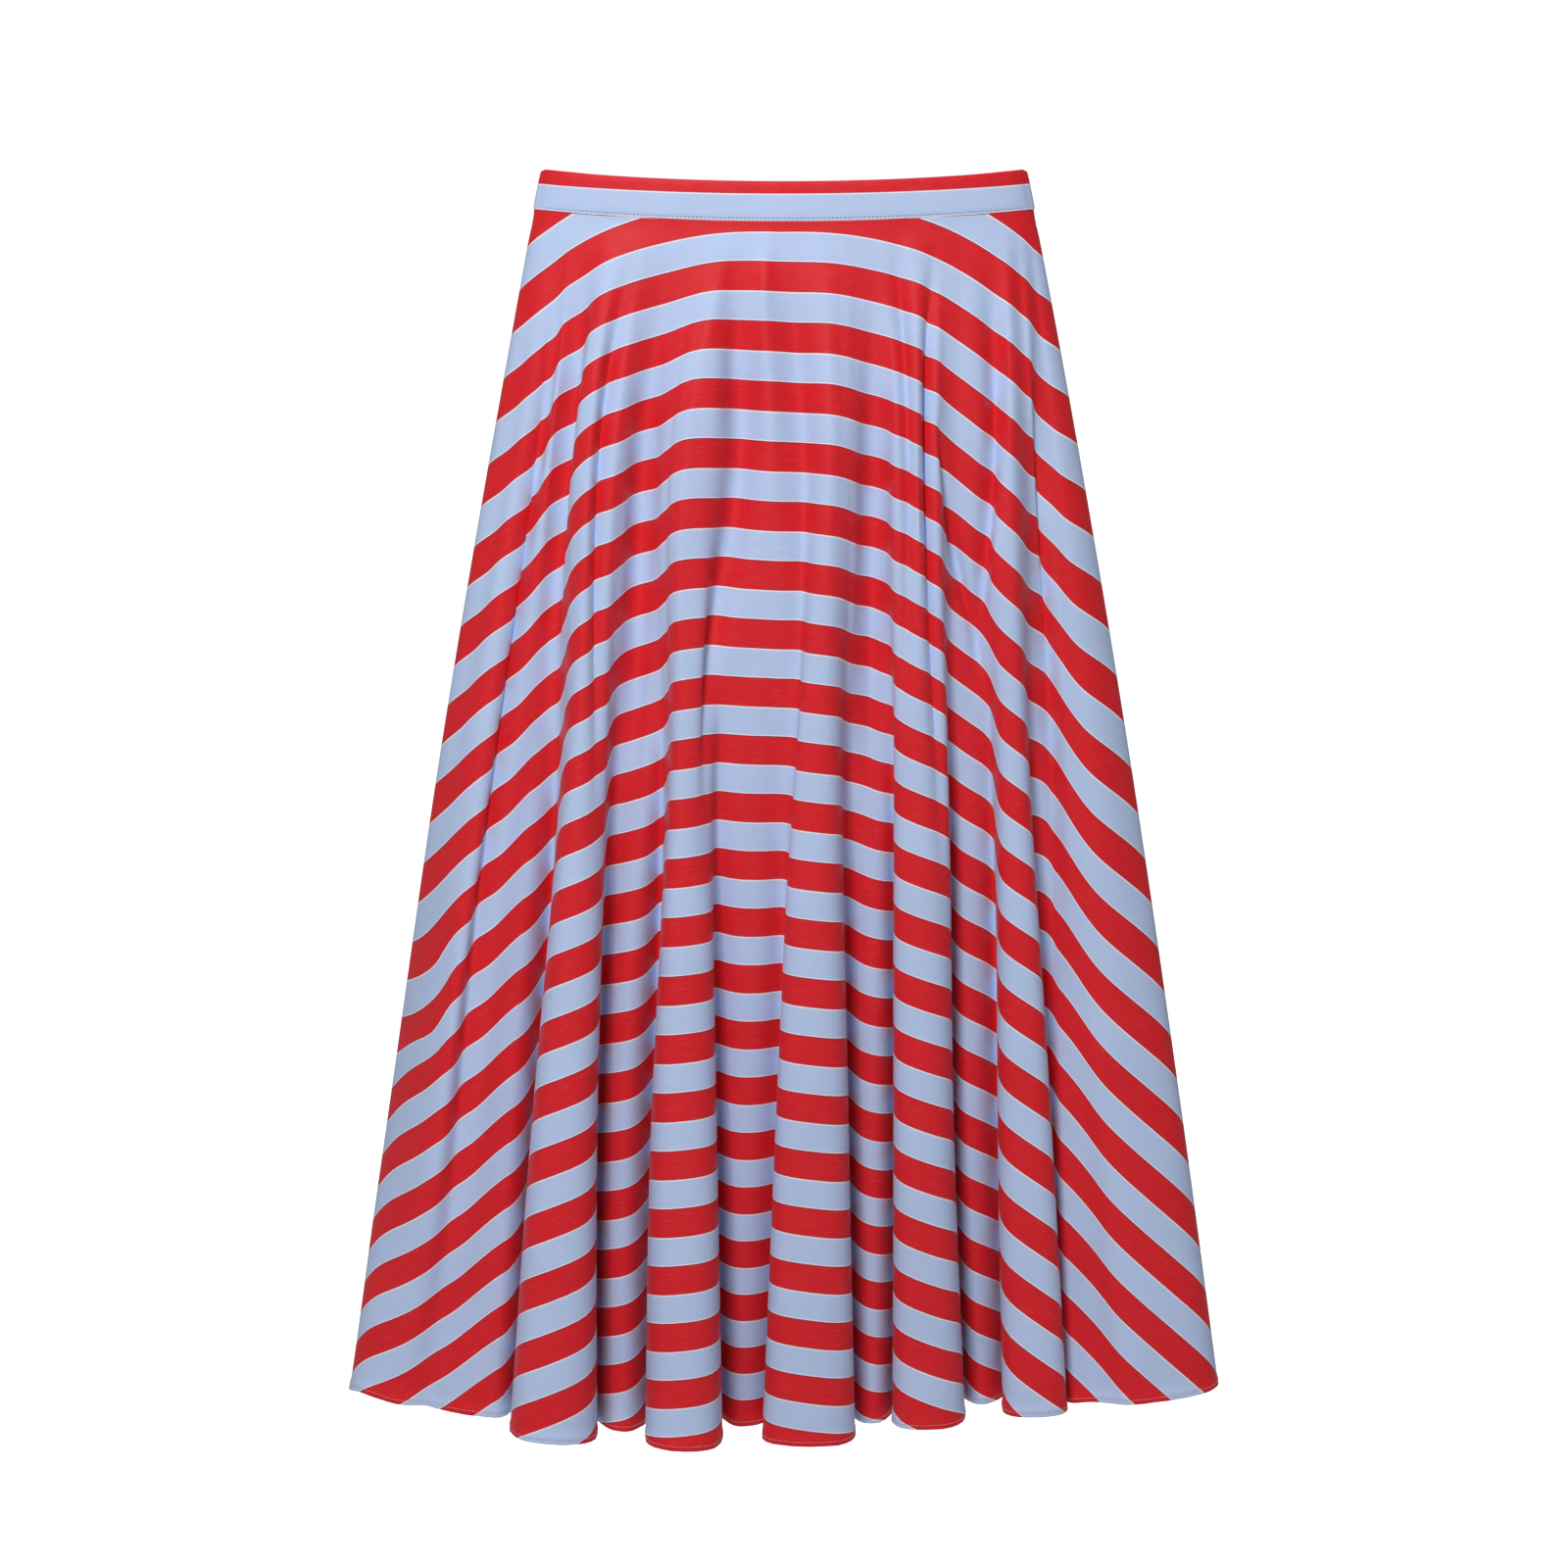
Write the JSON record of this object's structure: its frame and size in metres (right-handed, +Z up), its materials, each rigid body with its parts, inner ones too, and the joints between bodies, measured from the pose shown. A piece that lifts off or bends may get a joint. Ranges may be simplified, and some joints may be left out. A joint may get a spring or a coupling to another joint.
{
  "type": "a-line maxi skirt",
  "caption": "Long flared a-line skirt in wide horizontal stripes, hanging in deep folds from a narrow waistband with a zip at the centre back.",
  "frame": {"origin": "middle of the waistband's ring, half way up the band at the centre front", "axes": "+Z up, out of the waist; the front of the skirt faces -Y; +X is the right side of the picture, the wearer's left"},
  "size_m": [0.6472, 0.2342, 0.9255],
  "materials": {
    "stripe_cotton": "crisp plain-weave cotton in horizontal red and light blue stripes with a thin white line between them, soft sheen",
    "band_cotton": "the same striped cotton, red above light blue, pressed flat round a stiffener",
    "zip_tape": "light blue woven polyester zip tape, matt",
    "zip_metal": "small metal slider and pull, light blue enamel, satin"
  },
  "bodies": {
    "skirt": {"skirt_front": "stripe_cotton", "skirt_back_left": "stripe_cotton", "skirt_back_right": "stripe_cotton", "waistband_front": "band_cotton", "waistband_back_left": "band_cotton", "waistband_back_right": "band_cotton", "zip_tape": "zip_tape", "zip_slider": "zip_metal"},
    "pull": {"zip_pull": "zip_metal"}
  },
  "joints": [
    {"name": "pull_hinge", "type": "hinge", "parent": "skirt", "child": "pull", "pos_m": [0, 0.0353, 0.001], "axis": [1, 0, 0], "range_deg": [0, 120]}
  ]
}
